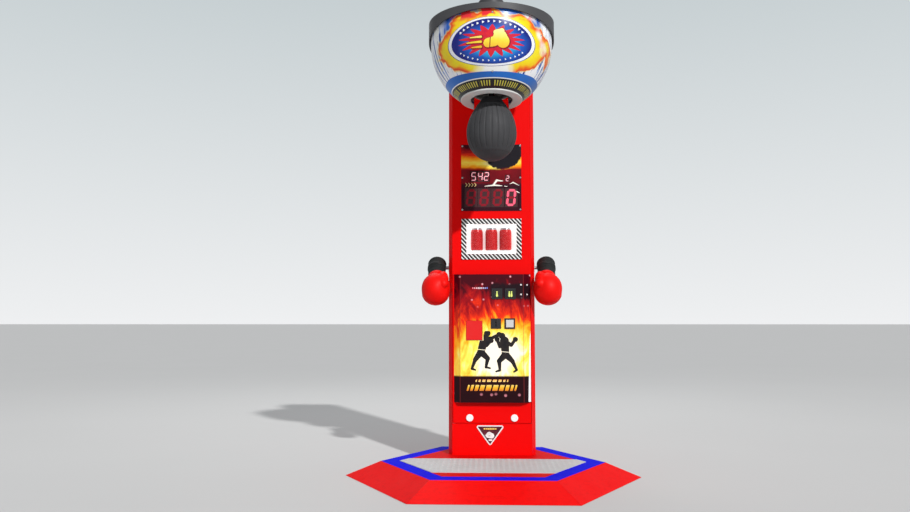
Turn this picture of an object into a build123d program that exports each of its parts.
from build123d import *
import os
from math import asin, cos, hypot, radians, sin, sqrt

# Boxing punch machine: a hexagonal platform, a sheet-steel column and a round head that holds the punch ball.
# Millimetres. +X is to the right of a player who faces the machine, the front faces -Y, +Z is up.
# The origin is the centre of the platform, on the floor.

# Platform
PLATFORM_R = 740.0           # tip to centre at the floor
BORDER_R = 562.0             # tip to centre of the blue border, outside
BORDER_INNER_R = 467.0       # tip to centre of the blue border, inside
DECK_Z = 72.0                # walking surface
PLATE = 6.0                  # deck and border plate
RAMP_PLATE = 5.5             # ramp plate, measured upright
TUBE = 40.0                  # base tube, square
TUBE_WALL = 3.0
RING_APOTHEM = 400.0         # centre line of the ring of base tubes
MAT_FRONT_Y = -310.0
MAT_BACK_Y = 70.0
MAT_THICK = 2.5
JOINT_GAP = 0.5              # seam between neighbouring plates

# Column
COLUMN_HALF = 231.0          # half width over the sides
FACE_HALF = 211.0            # half width of the flat front
FACE_Y = 200.0               # plane of the front
CHAMFER_Y = 245.0            # where the front corner chamfer meets the side
BACK_Y = 460.0
COLUMN_TOP = 2240.0
SHEET = 2.0                  # side sheet
FACE_SHEET = 3.0             # front and back sheet
POST = 25.0                  # square post
POST_X = 202.0               # inner side of each post
FRONT_POST_Y = 246.0
BACK_POST_Y = 418.0
PANEL_HALF = 208.5           # half width of the front sheets

# Front door and its coin panel
DOOR_Z0 = 238.0
DOOR_Z1 = 1022.0
DOOR_X0 = -206.0
DOOR_X1 = 207.0
DOOR_PIVOT = (-203.0, 206.0)
COIN_FACE_Y = 170.0          # plane of the coin panel's flat front
COIN_FLAT_HALF = 168.0
COIN_LEFT = 201.0            # left edge, short of the column's corner so that the door can swing
COIN_RIGHT = 206.0
COIN_Z0 = 347.0
COIN_WALL = 3.0
PIN_R = 2.5
RUNNING_GAP = 0.05           # radial clearance of a pin or a shaft in its hole

# Rear door
REAR_Z0 = 250.0
REAR_Z1 = 1198.5
REAR_X0 = -226.0
REAR_X1 = 224.0
REAR_PIVOT = (219.0, 453.0)

# Controls on the coin panel: centre x, centre z
START_BUTTONS = {"left": (28.0, 919.0), "right": (99.0, 919.0)}
REJECT_BUTTON = (95.0, 761.0)
COIN_ENTRY = (22.0, 761.0)
BEZEL = 56.0
BUTTON = 40.0
BUTTON_GAP = 0.5
SLOT_WIDTH = 5.0
SLOT_HEIGHT = 32.0
FLAP = (-137.0, -49.0, 672.0, 777.0)      # opening in the coin panel: x0, x1, z0, z1
FLAP_PIN = (176.0, 772.0)                 # y, z
CUP_BACK_Y = 260.0

# Locks
LOCK_X = 118.0
LOCK_Z = 265.0
REAR_LOCK_Z = 278.0
KNOB_R = 19.0
LOCK_SHAFT_R = 6.0
CAM_LENGTH = 45.0

# Score unit and prize display, on the front above the door
SCORE = (-162.0, 162.0, 1366.0, 1727.0)
BIG_DIGITS_X = (-110.0, -38.0, 34.0, 107.0)
SMALL_DIGITS_X = (-95.0, -59.0, -26.0)
PRIZE = (-161.0, 161.0, 1104.0, 1323.0)
PRIZE_BAR = 28.0
CAN_X = (-79.0, 0.0, 76.0)
CAN_R = 33.0
CAN_Z0 = 1151.0
CAN_HEIGHT = 124.0
CAN_Y = 242.0

# Head
HEAD_Y = -200.0
HEAD_Z = 2144.0              # where the bowl is widest
BOWL_R = 300.0
BOWL_DEPTH = 330.0           # from the widest ring to the pole of the ellipsoid
BOWL_CUT = 285.0             # depth at which the mouth cuts the bowl off
BOWL_COLLAR = 50.0           # upright wall above the widest ring
BOWL_WALL = 5.0
HEAD_TILT = 5.0              # degrees, front raised
MOUTH_R = 102.0
MOUTH_LIP = 8.0
RIM_R = 310.0
RIM_WALL = 5.0
RIM_TILT = 12.5              # slope of the rim's lower edge, degrees
LID = 6.0
COWL_R = 64.0
COWL_TOP = 2370.0
SWING_SLOT = (88.0, 12.0)    # half width and rear end of the slot behind the mouth

# Swing mechanism
PIVOT = (-205.0, 2040.0)     # y, z of the ball's shaft
SHAFT_R = 9.95
HUB_R = 26.0
ROD_R = 14.0
SWING_MAX = 25.0             # degrees towards the column
SWING_MIN = -6.0
ARM_HALF = 30.0
ARM_Z0 = 2060.0
CHEEK = 8.0                  # bearing plate thickness
BEARING_R = 20.0
BUFFER_R = 12.0
BUFFER_GAP = 0.6
NECK = (90.0, 2020.0, 2180.0)   # half width, bottom, top
NECK_WALL = 2.5

# Punch ball: radius at each height of the outline
BALL_BOTTOM = 1557.0
BALL_TOP = 1871.0
COLLAR_Z = 1830.0
BALL_OUTLINE = (
    (0, BALL_BOTTOM),
    (71, 1580),
    (118, 1648),
    (124, 1692),
    (105, 1781),
    (64, 1846),
    (47, BALL_TOP),
)
BALL_CORE_SCALE = 0.9        # foam core against the cover's outside

# Gloves
FIST_CENTRE = (298.0, 185.0, 946.0)   # x, y, z
FIST_RADII = (75.0, 80.0, 98.0)
CUFF_X = 290.0
CUFF_OPEN = (322.0, 1096.0)           # y, z of the open end's centre
CUFF_END = (222.0, 984.0)             # y, z of the end inside the fist
CUFF_R = 50.0
CUFF_BORE_R = 40.0
CUFF_BORE = 95.0
BRACKET_SPOT = (302.0, 1066.0)        # y, z of the peg that holds each cuff
PEG_R = 10.0
PEG_END = 262.0

nodes = {}


def add(name, *shapes):
    nodes[name] = [solid for shape in shapes for solid in shape.solids()]


def block(x0, x1, y0, y1, z0, z1):
    return Pos((x0 + x1) / 2, (y0 + y1) / 2, (z0 + z1) / 2) * Box(x1 - x0, y1 - y0, z1 - z0)


def rod_x(r, x0, x1, y, z):
    return Pos((x0 + x1) / 2, y, z) * Rot(0, 90, 0) * Cylinder(r, x1 - x0)


def rod_y(r, x, y0, y1, z):
    return Pos(x, (y0 + y1) / 2, z) * Rot(90, 0, 0) * Cylinder(r, y1 - y0)


def rod_z(r, x, y, z0, z1):
    return Pos(x, y, (z0 + z1) / 2) * Cylinder(r, z1 - z0)


def upright_prism(points, z0, z1):
    """An outline in plan, raised from z0 to z1."""
    return extrude(Pos(0, 0, z0) * Polygon(*points, align=None), amount=z1 - z0, dir=(0, 0, 1))


def front_plate(sketch, y0, y1):
    """An outline in X and Z, as a plate between two planes of Y."""
    return extrude(Plane.XZ.offset(-y1) * sketch, amount=y1 - y0, dir=(0, -1, 0))


def window_frame(outer, inner, y0, y1):
    """Four bars round a rectangular window. Both rectangles are x0, x1, z0, z1."""
    x0, x1, z0, z1 = outer
    a0, a1, c0, c1 = inner
    bars = [block(x0, x1, y0, y1, z0, c0), block(x0, x1, y0, y1, c1, z1)]
    bars += [block(x0, a0, y0, y1, c0, c1), block(a1, x1, y0, y1, c0, c1)]
    return bars


def around(centre, width, height):
    x, z = centre
    return (x - width / 2, x + width / 2, z - height / 2, z + height / 2)


def screw_head(r, height):
    head = Cylinder(r, height)
    top = head.edges().group_by(Axis.Z)[-1]
    return fillet(top, height * 0.6)


# Platform

def six_sides(section, gap=JOINT_GAP):
    """One mitred length on each side of the hexagon. The section gives distance from the centre and height."""
    reach = 1000.0
    far = gap + reach * sqrt(3)
    wedge = upright_prism([(0, gap), (reach, far), (-reach, far)], -10, DECK_Z + 10)
    bar = extrude(Plane.YZ * Polygon(*section, align=None), amount=reach, both=True)
    side = bar & wedge
    return [Rot(0, 0, 60 * k) * side for k in range(6)]


def hexagon(circumradius, z0, z1):
    return extrude(Pos(0, 0, z0) * RegularPolygon(circumradius, 6), amount=z1 - z0)


def platform():
    apothem = cos(radians(30))
    toe = PLATFORM_R * apothem
    edge = BORDER_R * apothem
    inner = BORDER_INNER_R * apothem
    toe_thick = RAMP_PLATE * (toe - edge) / DECK_Z
    crest = edge + JOINT_GAP
    under = DECK_Z - PLATE
    ramp = [(toe, 0), (crest, DECK_Z), (crest, DECK_Z - RAMP_PLATE), (toe - toe_thick, 0)]
    add("platform_ramps", *six_sides(ramp))
    add("platform_border", *six_sides([(inner, under), (edge, under), (edge, DECK_Z), (inner, DECK_Z)]))
    deck_r = BORDER_INNER_R - JOINT_GAP
    add("platform_deck", hexagon(deck_r, under, DECK_Z))
    mat = hexagon(deck_r, DECK_Z, DECK_Z + MAT_THICK) & block(-500, 500, MAT_FRONT_Y, MAT_BACK_Y, 0, 100)
    add("tread_plate", mat)

    low, high = RING_APOTHEM - TUBE / 2, RING_APOTHEM + TUBE / 2
    w, base = TUBE_WALL, under - TUBE
    ring = six_sides([(low, base), (high, base), (high, under), (low, under)])
    inside = [(low + w, base + w), (high - w, base + w), (high - w, under - w), (low + w, under - w)]
    bore = six_sides(inside, 0)
    tubes = [outer - inner_bore for outer, inner_bore in zip(ring, bore)]
    inside_ring = hexagon((low - JOINT_GAP) / apothem, 0, 100)
    for y in (-150.0, 150.0):
        outer = block(-500, 500, y - TUBE / 2, y + TUBE / 2, base, under)
        hollow = block(-500, 500, y - TUBE / 2 + w, y + TUBE / 2 - w, base + w, under - w)
        tubes.append((outer - hollow) & inside_ring)
    add("base_tubes", *tubes)
    foot = rod_z(30, RING_APOTHEM, 0, 0, 10) + rod_z(8, RING_APOTHEM, 0, 10, base)
    add("levelling_feet", *[Rot(0, 0, 60 * k + 30) * foot for k in range(6)])


# Column

def inner_line_x(y):
    """Half width inside the side sheet's chamfer at a given Y."""
    run = COLUMN_HALF - FACE_HALF
    rise = CHAMFER_Y - FACE_Y
    return FACE_HALF - SHEET * hypot(run, rise) / rise + (y - FACE_Y) * run / rise


def side_sheet(sign):
    inner = COLUMN_HALF - SHEET
    bend_y = FACE_Y + (inner - inner_line_x(FACE_Y)) * (CHAMFER_Y - FACE_Y) / (COLUMN_HALF - FACE_HALF)
    outline = [(FACE_HALF, FACE_Y), (COLUMN_HALF, CHAMFER_Y), (COLUMN_HALF, BACK_Y), (inner, BACK_Y),
               (inner, bend_y), (inner_line_x(FACE_Y), FACE_Y)]
    return upright_prism([(sign * x, y) for x, y in outline], DECK_Z, COLUMN_TOP - FACE_SHEET)


def column():
    add("column_side_left", side_sheet(-1))
    add("column_side_right", side_sheet(1))

    frame = []
    for x0 in (-POST_X - POST, POST_X):
        for y0 in (FRONT_POST_Y, BACK_POST_Y):
            wall = 2.0
            post = block(x0, x0 + POST, y0, y0 + POST, DECK_Z, COLUMN_TOP - 5)
            bore = block(x0 + wall, x0 + POST - wall, y0 + wall, y0 + POST - wall, 0, COLUMN_TOP)
            frame.append(post - bore)
    for y0 in (FRONT_POST_Y, BACK_POST_Y):
        frame.append(block(-POST_X, POST_X, y0, y0 + POST, ARM_Z0 - 30, ARM_Z0))
    frame.append(block(-POST_X, POST_X, FRONT_POST_Y, BACK_POST_Y + POST, 417, 420))
    add("column_frame", *frame)

    face = block(-PANEL_HALF, PANEL_HALF, FACE_Y, FACE_Y + FACE_SHEET, DOOR_Z1 + 2, COLUMN_TOP - FACE_SHEET)
    face -= block(-150, 150, 190, 210, 1380, 1600)
    face -= block(-136, 136, 190, 210, 1134, 1296)
    face -= block(-ARM_HALF, ARM_HALF, 190, 210, ARM_Z0, ARM_Z0 + 2 * ARM_HALF)
    add("column_front_upper", face)
    kick_top = DOOR_Z0 - 2.5
    kick_panel = block(-PANEL_HALF, PANEL_HALF, FACE_Y, FACE_Y + FACE_SHEET, DECK_Z, kick_top)
    add("column_front_lower", kick_panel)

    cap = [(-FACE_HALF, FACE_Y), (FACE_HALF, FACE_Y), (COLUMN_HALF, CHAMFER_Y), (COLUMN_HALF, BACK_Y),
           (-COLUMN_HALF, BACK_Y), (-COLUMN_HALF, CHAMFER_Y)]
    add("column_top", upright_prism(cap, COLUMN_TOP - FACE_SHEET, COLUMN_TOP))

    half = COLUMN_HALF - SHEET
    upper = block(-half, half, BACK_Y - FACE_SHEET, BACK_Y, REAR_Z1 + 1.5, COLUMN_TOP - FACE_SHEET)
    for k in range(6):
        upper -= block(-60, 60, 440, 470, 1900 + 18 * k, 1906 + 18 * k)
    add("column_back_upper", upper)
    lower = block(-half, half, BACK_Y - FACE_SHEET, BACK_Y, DECK_Z, REAR_Z0 - 2)
    add("column_back_lower", lower - block(119.5, 170.5, 440, 470, 139.5, 180.5))


def door_pivots():
    """Blocks with integral pins at the corners of both doors, fixed to the sheets above and below."""
    x, y = DOOR_PIVOT
    low = DOOR_Z0 - 2.5
    high = DOOR_Z1 + 2
    parts = [block(x - 5, x + 11, 203, 213, low - 11, low) + rod_z(PIN_R, x, y, low - 5, DOOR_Z0 + 5)]
    top_lug = block(x - 5, x + 11, 203, 213, high + 1, high + 13)
    parts.append(top_lug + rod_z(PIN_R, x, y, DOOR_Z1 - 5, high + 6))
    x, y = REAR_PIVOT
    low = REAR_Z0 - 2.5
    high = REAR_Z1 + 2
    parts.append(block(x - 8, x + 8, 447, 457, low - 11, low) + rod_z(PIN_R, x, y, low - 5, REAR_Z0 + 5))
    parts.append(block(x - 8, x + 8, 447, 457, high, high + 12) + rod_z(PIN_R, x, y, REAR_Z1 - 5, high + 6))
    add("door_pivots", *parts)


def cabinet_contents():
    hole = (131, 159, 150, 170)
    inlet = window_frame((120, 170, 140, 180), hole, 440, 462)
    inlet.append(block(120, 170, 436, 440, 140, 180))
    inlet += [rod_y(1.8, x, 440, 452, 154) for x in (137, 145, 153)]
    add("power_inlet", *inlet)

    add("power_supply", block(-75, 75, 310, 410, DECK_Z, 132) - block(-65, 65, 300, 311.5, 80, 124))

    board = [block(-199, -197.4, 282, 408, 800, 1000)]
    board += [rod_x(4, -229, -199, y, z) for y in (290, 400) for z in (810, 990)]
    board.append(block(-197.4, -172, 300, 340, 820, 880))
    board += [block(-197.4, -186, 355, 395, z, z + 22) for z in (820, 860, 900, 940)]
    board += [rod_x(9, -197.4, -168, 320, z) for z in (910, 940, 970)]
    add("control_board", *board)

    x0, x1, y0, y1, z0, z1, t = -110, 110, 285, 400, 420, 560, 2
    walls = [block(x0, x1, y0, y1, z0, z0 + t)]
    walls += [block(x0, x1, y0, y0 + t, z0 + t, z1), block(x0, x1, y1 - t, y1, z0 + t, z1)]
    walls += [block(x0, x0 + t, y0 + t, y1 - t, z0 + t, z1), block(x1 - t, x1, y0 + t, y1 - t, z0 + t, z1)]
    add("cash_box", *walls)


def score_unit():
    x0, x1, z0, z1 = SCORE
    panel = block(x0, x1, FACE_Y - 2.5, FACE_Y, z0, z1)
    for window in ((-148, 146, 1386, 1492), (-114, -8, 1524, 1584), (74, 102, 1524, 1562)):
        panel -= block(window[0], window[1], 190, 210, window[2], window[3])
    add("score_panel", panel)

    modules = [block(x - 35, x + 35, 201.5, 213, 1384, 1494) for x in BIG_DIGITS_X]
    modules += [block(x - 15, x + 15, 201.5, 213, 1522, 1586) for x in SMALL_DIGITS_X]
    modules.append(block(72, 104, 201.5, 213, 1520, 1566))
    modules.append(block(-149, 149, 213, 215, 1381, 1599))
    add("digit_display", *modules)

    head = Rot(90, 0, 0) * screw_head(5, 2.5)
    screws = []
    for x in (x0 + 6, x1 - 6):
        screws += [Pos(x, FACE_Y - 3.75, z) * head for z in (z0 + 7, (z0 + z1) / 2, z1 - 7)]
    back_head = Rot(-90, 0, 0) * screw_head(6, 3)
    for x in (-210, 210):
        screws += [Pos(x, BACK_Y + 1.5, z) * back_head for z in (110, 220, 1240, 1560, 1890, 2200)]
    for k in range(8):
        spot = Pos(0, HEAD_Y, COLUMN_TOP + 1.5) * Rot(0, 0, 45 * k + 22.5) * Pos(RIM_R - 22, 0, 0)
        screws.append(spot * screw_head(6, 3))
    add("panel_screws", *screws)


def prize_display():
    x0, x1, z0, z1 = PRIZE
    inner = (x0 + PRIZE_BAR - 1, x1 - PRIZE_BAR + 1, z0 + PRIZE_BAR + 1, z1 - PRIZE_BAR)
    add("prize_frame", *window_frame(PRIZE, inner, FACE_Y - 4, FACE_Y))
    add("prize_window", block(-135.5, 135.5, FACE_Y + 0.5, FACE_Y + FACE_SHEET, 1134.5, 1295.5))
    back, front = 288, FACE_Y + FACE_SHEET
    box = [block(-140, 140, back - 2, back, 1132, 1298)]
    box += [block(-140, 140, front, back - 2, 1132, 1134), block(-140, 140, front, back - 2, 1296, 1298)]
    box += [block(-140, -138, front, back - 2, 1134, 1296), block(138, 140, front, back - 2, 1134, 1296)]
    box.append(block(-138, 138, front + 0.5, back - 2, 1134, CAN_Z0))
    add("prize_box", *box)
    h = CAN_HEIGHT
    outline = [(0, 0), (24, 0), (CAN_R, 9), (CAN_R, h - 17), (27, h - 4), (27, h), (0, h)]
    can = revolve(Plane.XZ * Polygon(*outline, align=None), axis=Axis.Z)
    add("prize_cans", *[Pos(x, CAN_Y, CAN_Z0) * can for x in CAN_X])


def badge():
    corners = Polygon((-90, 226), (68, 226), (-11, 118), align=None)
    add("badge", front_plate(fillet(corners.vertices(), 9), FACE_Y - 2, FACE_Y))


# Front door

def coin_panel_outline(inset, face_y):
    """The coin panel in plan, its bevels drawn in by inset."""
    flat = COIN_FLAT_HALF - inset / 2
    return [(inset - COIN_LEFT, FACE_Y), (-flat, face_y), (flat, face_y), (COIN_RIGHT - inset, FACE_Y)]


def front_door():
    x, y = DOOR_PIVOT
    leaf = block(DOOR_X0, DOOR_X1, FACE_Y, FACE_Y + FACE_SHEET, DOOR_Z0, DOOR_Z1)
    for z0 in (DOOR_Z0, DOOR_Z1 - 3):
        leaf += block(DOOR_X0, DOOR_X0 + 16, FACE_Y + FACE_SHEET, y + 6, z0, z0 + 3)
        leaf -= rod_z(PIN_R + RUNNING_GAP, x, y, z0 - 1, z0 + 4)
    for lock_x in (-LOCK_X, LOCK_X):
        leaf -= rod_y(LOCK_SHAFT_R + RUNNING_GAP, lock_x, 190, 210, LOCK_Z)
    leaf -= block(FLAP[0] - 1, FLAP[1] + 1, 190, 210, FLAP[2] - 1, FLAP[3] + 1)
    leaf -= block(COIN_ENTRY[0] - 11, COIN_ENTRY[0] + 11, 190, 210, 744, 778)
    add("front_door", leaf)

    panel = upright_prism(coin_panel_outline(0, COIN_FACE_Y), COIN_Z0, DOOR_Z1)
    cavity = coin_panel_outline(4, COIN_FACE_Y + COIN_WALL)
    panel -= upright_prism(cavity, COIN_Z0 + COIN_WALL, DOOR_Z1 - COIN_WALL)
    for centre in (*START_BUTTONS.values(), REJECT_BUTTON):
        x0, x1, z0, z1 = around(centre, BUTTON + 2 * BUTTON_GAP, BUTTON + 2 * BUTTON_GAP)
        panel -= block(x0, x1, 160, 180, z0, z1)
    x0, x1, z0, z1 = around(COIN_ENTRY, SLOT_WIDTH, SLOT_HEIGHT)
    panel -= block(x0, x1, 160, 180, z0, z1)
    panel -= block(FLAP[0], FLAP[1], 160, 180, FLAP[2], FLAP[3])
    add("coin_panel", panel)

    bezels = []
    for centre in (*START_BUTTONS.values(), REJECT_BUTTON):
        hole = around(centre, BUTTON + 2 * BUTTON_GAP, BUTTON + 2 * BUTTON_GAP)
        bezels += window_frame(around(centre, BEZEL, BEZEL), hole, COIN_FACE_Y - 4, COIN_FACE_Y)
    slot = around(COIN_ENTRY, SLOT_WIDTH, SLOT_HEIGHT)
    bezels += window_frame(around(COIN_ENTRY, BEZEL - 2, BEZEL - 2), slot, COIN_FACE_Y - 4, COIN_FACE_Y)
    add("panel_bezels", *bezels)

    y0 = COIN_FACE_Y + COIN_WALL
    x, z = COIN_ENTRY
    half = SLOT_WIDTH / 2
    mech = []
    for side in (-1, 1):
        near, mid, far = x + side * half, x + side * 10, x + side * 20
        chute = block(min(near, mid), max(near, mid), y0, 203, z - 16, z + 16)
        mech.append(chute + block(min(near, far), max(near, far), 203, 260, 700, 800))
    mech.append(block(x - 20, x + 20, 260, 275, 700, 800))
    add("coin_mech", *mech)


def return_cup():
    x0, x1, z0, z1 = FLAP
    y0, y1, t = COIN_FACE_Y + COIN_WALL, CUP_BACK_Y, 2
    pin_y, pin_z = FLAP_PIN
    sides = [block(x0 - 1, x0 + 1, y0, y1, z0, z1), block(x1 - 1, x1 + 1, y0, y1, z0, z1)]
    pin_hole = rod_x(2 + RUNNING_GAP, x0 - 5, x1 + 5, pin_y, pin_z)
    walls = [side - pin_hole for side in sides]
    walls += [block(x0 + 1, x1 - 1, y0, y1, z0, z0 + t), block(x0 + 1, x1 - 1, y0 + 12, y1, z1 - t, z1)]
    walls.append(block(x0 + 1, x1 - 1, y1 - t, y1, z0 + t, z1 - t))
    add("return_cup", *walls)
    flap = block(x0 + 1.6, x1 - 1.6, COIN_FACE_Y + 0.4, COIN_FACE_Y + 3.4, z0 + 3, z1 - 1)
    flap += rod_x(2, x0 - 1, x1 + 1, pin_y, pin_z)
    flap += block(x0 + 1.6, x1 - 1.6, COIN_FACE_Y + 3.4, pin_y, pin_z - 2, pin_z + 1.5)
    add("return_flap", flap)


def button(centre):
    x0, x1, z0, z1 = around(centre, BUTTON, BUTTON)
    cap = block(x0, x1, COIN_FACE_Y - 6.5, COIN_FACE_Y + 14, z0, z1)
    return fillet(cap.faces().sort_by(Axis.Y)[0].edges(), 1.5)


def lock(x, z, face_y, outward, cam_side):
    """Knob, shaft and cam of a quarter-turn lock. outward is the Y direction that leaves the cabinet."""
    knob = rod_y(KNOB_R, x, *sorted((face_y + outward * 0.4, face_y + outward * 7.4)), z)
    knob = fillet(knob.edges().sort_by(Axis.Y)[-1 if outward > 0 else 0], 2)
    grip_y = face_y + outward * 7.4
    knob -= block(x - 13, x + 13, grip_y - 1.5, grip_y + 1.5, z - 1.5, z + 1.5)
    cam_y = sorted((face_y - outward * 5.0, face_y - outward * 8.0))
    shaft = rod_y(LOCK_SHAFT_R, x, *sorted((face_y + outward * 0.4, face_y - outward * 5.0)), z)
    tip = x + cam_side * CAM_LENGTH
    cam = block(min(x, tip), max(x, tip), *cam_y, z - 8, z + 8) + rod_y(8, x, *cam_y, z)
    return [knob + shaft, cam]


def rear_door():
    x, y = REAR_PIVOT
    leaf = block(REAR_X0, REAR_X1, BACK_Y - FACE_SHEET, BACK_Y, REAR_Z0, REAR_Z1)
    for z0 in (REAR_Z0, REAR_Z1 - 3):
        leaf += block(REAR_X1 - 14, REAR_X1, y - 6, BACK_Y - FACE_SHEET, z0, z0 + 3)
        leaf -= rod_z(PIN_R + RUNNING_GAP, x, y, z0 - 1, z0 + 4)
    leaf -= rod_y(LOCK_SHAFT_R + RUNNING_GAP, 0, 450, 470, REAR_LOCK_Z)
    add("rear_door", leaf)


# Head

def bowl():
    """The ellipsoid wall down to the mouth cut, with the upright collar above, before tilting."""
    faces = []
    for radius, depth in ((BOWL_R, BOWL_DEPTH), (BOWL_R - BOWL_WALL, BOWL_DEPTH - BOWL_WALL)):
        last = asin(BOWL_CUT / depth)
        steps = 9
        points = [(radius * cos(last * k / steps), -depth * sin(last * k / steps)) for k in range(steps + 1)]
        end_slope = (-radius * sin(last), -depth * cos(last))
        faces.append((points, Spline(*points, tangents=((0, -1), end_slope))))
    (outer, outer_curve), (inner, inner_curve) = faces
    rest = Polyline(inner[0], (inner[0][0], BOWL_COLLAR), (outer[0][0], BOWL_COLLAR), outer[0])
    outline = outer_curve + Line(outer[-1], inner[-1]) + inner_curve + rest
    return revolve(Plane.XZ * make_face(outline), axis=Axis.Z)


def bowl_radius(depth):
    return BOWL_R * sqrt(1 - (depth / BOWL_DEPTH) ** 2)


def swing_slot():
    half, end = SWING_SLOT
    return block(-half, half, HEAD_Y - BOWL_CUT * sin(radians(HEAD_TILT)), end, 1780, 1950)


def head():
    tilt = Pos(0, HEAD_Y, HEAD_Z) * Rot(-HEAD_TILT, 0, 0)
    half, neck_low, neck_high = NECK
    neck_hole = block(-half - 1, half + 1, 0, 150, neck_low - 1, neck_high + 1)
    add("dome_shell", tilt * bowl() - swing_slot() - neck_hole)

    outer_r = bowl_radius(BOWL_CUT)
    section = RectangleRounded(outer_r - MOUTH_R, MOUTH_LIP, 3)
    lip = Pos((MOUTH_R + outer_r) / 2, -BOWL_CUT - MOUTH_LIP / 2) * section
    ring = revolve(Plane.XZ * lip, axis=Axis.Z)
    add("mouth_ring", tilt * ring - swing_slot())

    rim = rod_z(RIM_R, 0, HEAD_Y, 2040, COLUMN_TOP)
    rim -= rod_z(RIM_R - RIM_WALL, 0, HEAD_Y, 2000, COLUMN_TOP + 10)
    below = Pos(0, HEAD_Y, HEAD_Z) * Rot(-RIM_TILT, 0, 0) * Pos(0, 0, -150) * Box(900, 900, 300)
    add("dome_rim", rim - below - neck_hole)
    add("dome_lid", rod_z(RIM_R - RIM_WALL, 0, HEAD_Y, COLUMN_TOP - LID, COLUMN_TOP))
    cowl = rod_z(COWL_R, 0, HEAD_Y, COLUMN_TOP, COWL_TOP)
    add("mechanism_cowl", fillet(cowl.edges().group_by(Axis.Z)[-1], 16))

    neck = block(-half, half, 70, FACE_Y, neck_low, neck_high)
    inner = half - NECK_WALL
    neck -= block(-inner, inner, 60, FACE_Y + 10, neck_low + NECK_WALL, neck_high - NECK_WALL)
    add("neck_cover", neck)
    arm = block(-ARM_HALF, ARM_HALF, -130, BACK_POST_Y + POST, ARM_Z0, ARM_Z0 + 2 * ARM_HALF)
    arm -= block(4 - ARM_HALF, ARM_HALF - 4, -140, 500, ARM_Z0 + 4, ARM_Z0 + 2 * ARM_HALF - 4)
    add("support_arm", arm)


def along_swing(angle, distance, aside):
    """A point in the swing plane: distance down the ball's rod at an angle, then aside towards the column."""
    a = radians(angle)
    return (PIVOT[0] + distance * sin(a) + aside * cos(a), PIVOT[1] - distance * cos(a) + aside * sin(a))


def ball_solid(ratio):
    """The ball's outline turned about the rod, shrunk by ratio about its middle height."""
    middle = (BALL_BOTTOM + BALL_TOP) / 2
    points = [(r * ratio, middle + (height - middle) * ratio) for r, height in BALL_OUTLINE]
    outline = Spline(*points) + Polyline(points[-1], (0, points[-1][1]), points[0])
    return Pos(0, PIVOT[0], 0) * revolve(Plane.XZ * make_face(outline), axis=Axis.Z)


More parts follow.
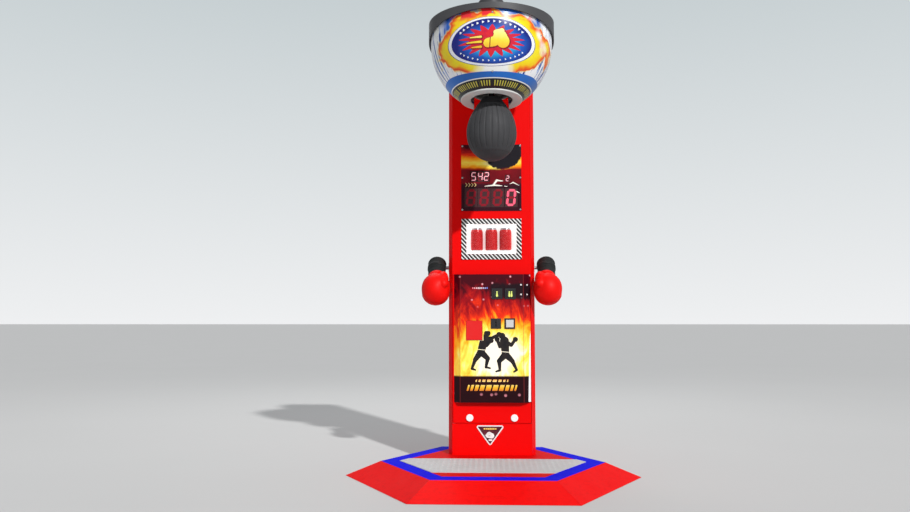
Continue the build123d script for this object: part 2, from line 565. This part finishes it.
def swing_mechanism():
    y, z = PIVOT
    rear = along_swing(SWING_MAX, 60, ROD_R + BUFFER_R + BUFFER_GAP)
    front = along_swing(SWING_MIN, 60, -ROD_R - BUFFER_R - BUFFER_GAP)
    outline = [(-60, 2120), (-230, 2120), (-262, 2050), (-262, 1965), (-130, 1965), (-60, 2060)]
    plates, bearings = [], []
    for x0 in (-ARM_HALF - CHEEK, ARM_HALF):
        plate = extrude(Plane.YZ.offset(x0) * Polygon(*outline, align=None), amount=CHEEK)
        plates.append(plate - rod_x(BEARING_R, x0 - 1, x0 + CHEEK + 1, y, z))
        bearing = rod_x(BEARING_R, x0, x0 + CHEEK, y, z)
        bearings.append(bearing - rod_x(SHAFT_R + RUNNING_GAP, x0 - 1, x0 + CHEEK + 1, y, z))
    add("bearing_plates", *plates)
    add("pivot_bearings", *bearings)
    add("swing_buffers", *[rod_x(BUFFER_R, -ARM_HALF, ARM_HALF, *spot) for spot in (front, rear)])

    fork = block(38, 62, y + 15, y + 45, z + 22, z + 52) - block(48, 54, y, y + 60, z, z + 45)
    add("sensor_fork", fork)

    shaft = rod_x(SHAFT_R, -46, 60, y, z)
    add("pivot_shaft", shaft)
    disc = rod_x(45, 50, 52, y, z) - rod_x(SHAFT_R, 40, 60, y, z)
    for k in range(24):
        disc -= Pos(51, y, z) * Rot(15 * k, 0, 0) * Pos(0, 0, 40) * Box(4, 3, 6)
    add("sensor_disc", disc)

    arm = rod_x(HUB_R, -27, 27, y, z) + rod_z(ROD_R, 0, y, 1640, z) + rod_z(40, 0, y, 1640, 1648)
    arm -= shaft
    add("ball_arm", arm)
    ball = ball_solid(1)
    core = ball_solid(BALL_CORE_SCALE)
    above = block(-200, 200, y - 200, y + 200, COLLAR_Z, 1900)
    add("ball_collar", (ball & above) - arm)
    add("ball_core", core - above - arm)
    add("ball_cover", ball - above - core - arm)


# Gloves

def glove(sign):
    fist_x, fist_y, fist_z = FIST_CENTRE
    fist = Pos(sign * fist_x, fist_y, fist_z) * scale(Sphere(1), by=FIST_RADII)
    dy, dz = CUFF_OPEN[0] - CUFF_END[0], CUFF_OPEN[1] - CUFF_END[1]
    length = hypot(dy, dz)
    plane = Plane(origin=(sign * CUFF_X, *CUFF_END), x_dir=(1, 0, 0), z_dir=(0, dy / length, dz / length))
    cuff = plane * Pos(0, 0, length / 2) * Cylinder(CUFF_R, length)
    bore = plane * Pos(0, 0, length - CUFF_BORE / 2) * Cylinder(CUFF_BORE_R, CUFF_BORE)
    cuff = cuff - fist - bore - bracket_peg(sign, PEG_R + RUNNING_GAP)
    return [fist, max(cuff.solids(), key=lambda s: s.volume)]


def bracket_peg(sign, radius):
    ends = sorted((sign * COLUMN_HALF, sign * PEG_END))
    return rod_x(radius, *ends, *BRACKET_SPOT)


def gloves():
    brackets = []
    for side, sign in (("left", -1), ("right", 1)):
        add("glove_" + side, *glove(sign))
        face = sorted((sign * COLUMN_HALF, sign * (COLUMN_HALF + 3)))
        y, z = BRACKET_SPOT
        plate = block(*face, y - 25, y + 25, z - 25, z + 25)
        brackets.append(plate + bracket_peg(sign, PEG_R))
    add("glove_brackets", *brackets)


platform()
column()
door_pivots()
cabinet_contents()
score_unit()
prize_display()
badge()
front_door()
return_cup()
for label, spot in START_BUTTONS.items():
    add("start_button_" + label, button(spot))
add("reject_button", button(REJECT_BUTTON))
add("lock_left", *lock(-LOCK_X, LOCK_Z, FACE_Y, -1, 1))
add("lock_right", *lock(LOCK_X, LOCK_Z, FACE_Y, -1, -1))
rear_door()
add("lock_rear", *lock(0, REAR_LOCK_Z, BACK_Y, 1, 1))
head()
swing_mechanism()
gloves()

os.makedirs("parts", exist_ok=True)
for name, solids in nodes.items():
    shape = solids[0] if len(solids) == 1 else Compound(children=solids)
    export_step(shape, os.path.join("parts", name + ".step"))
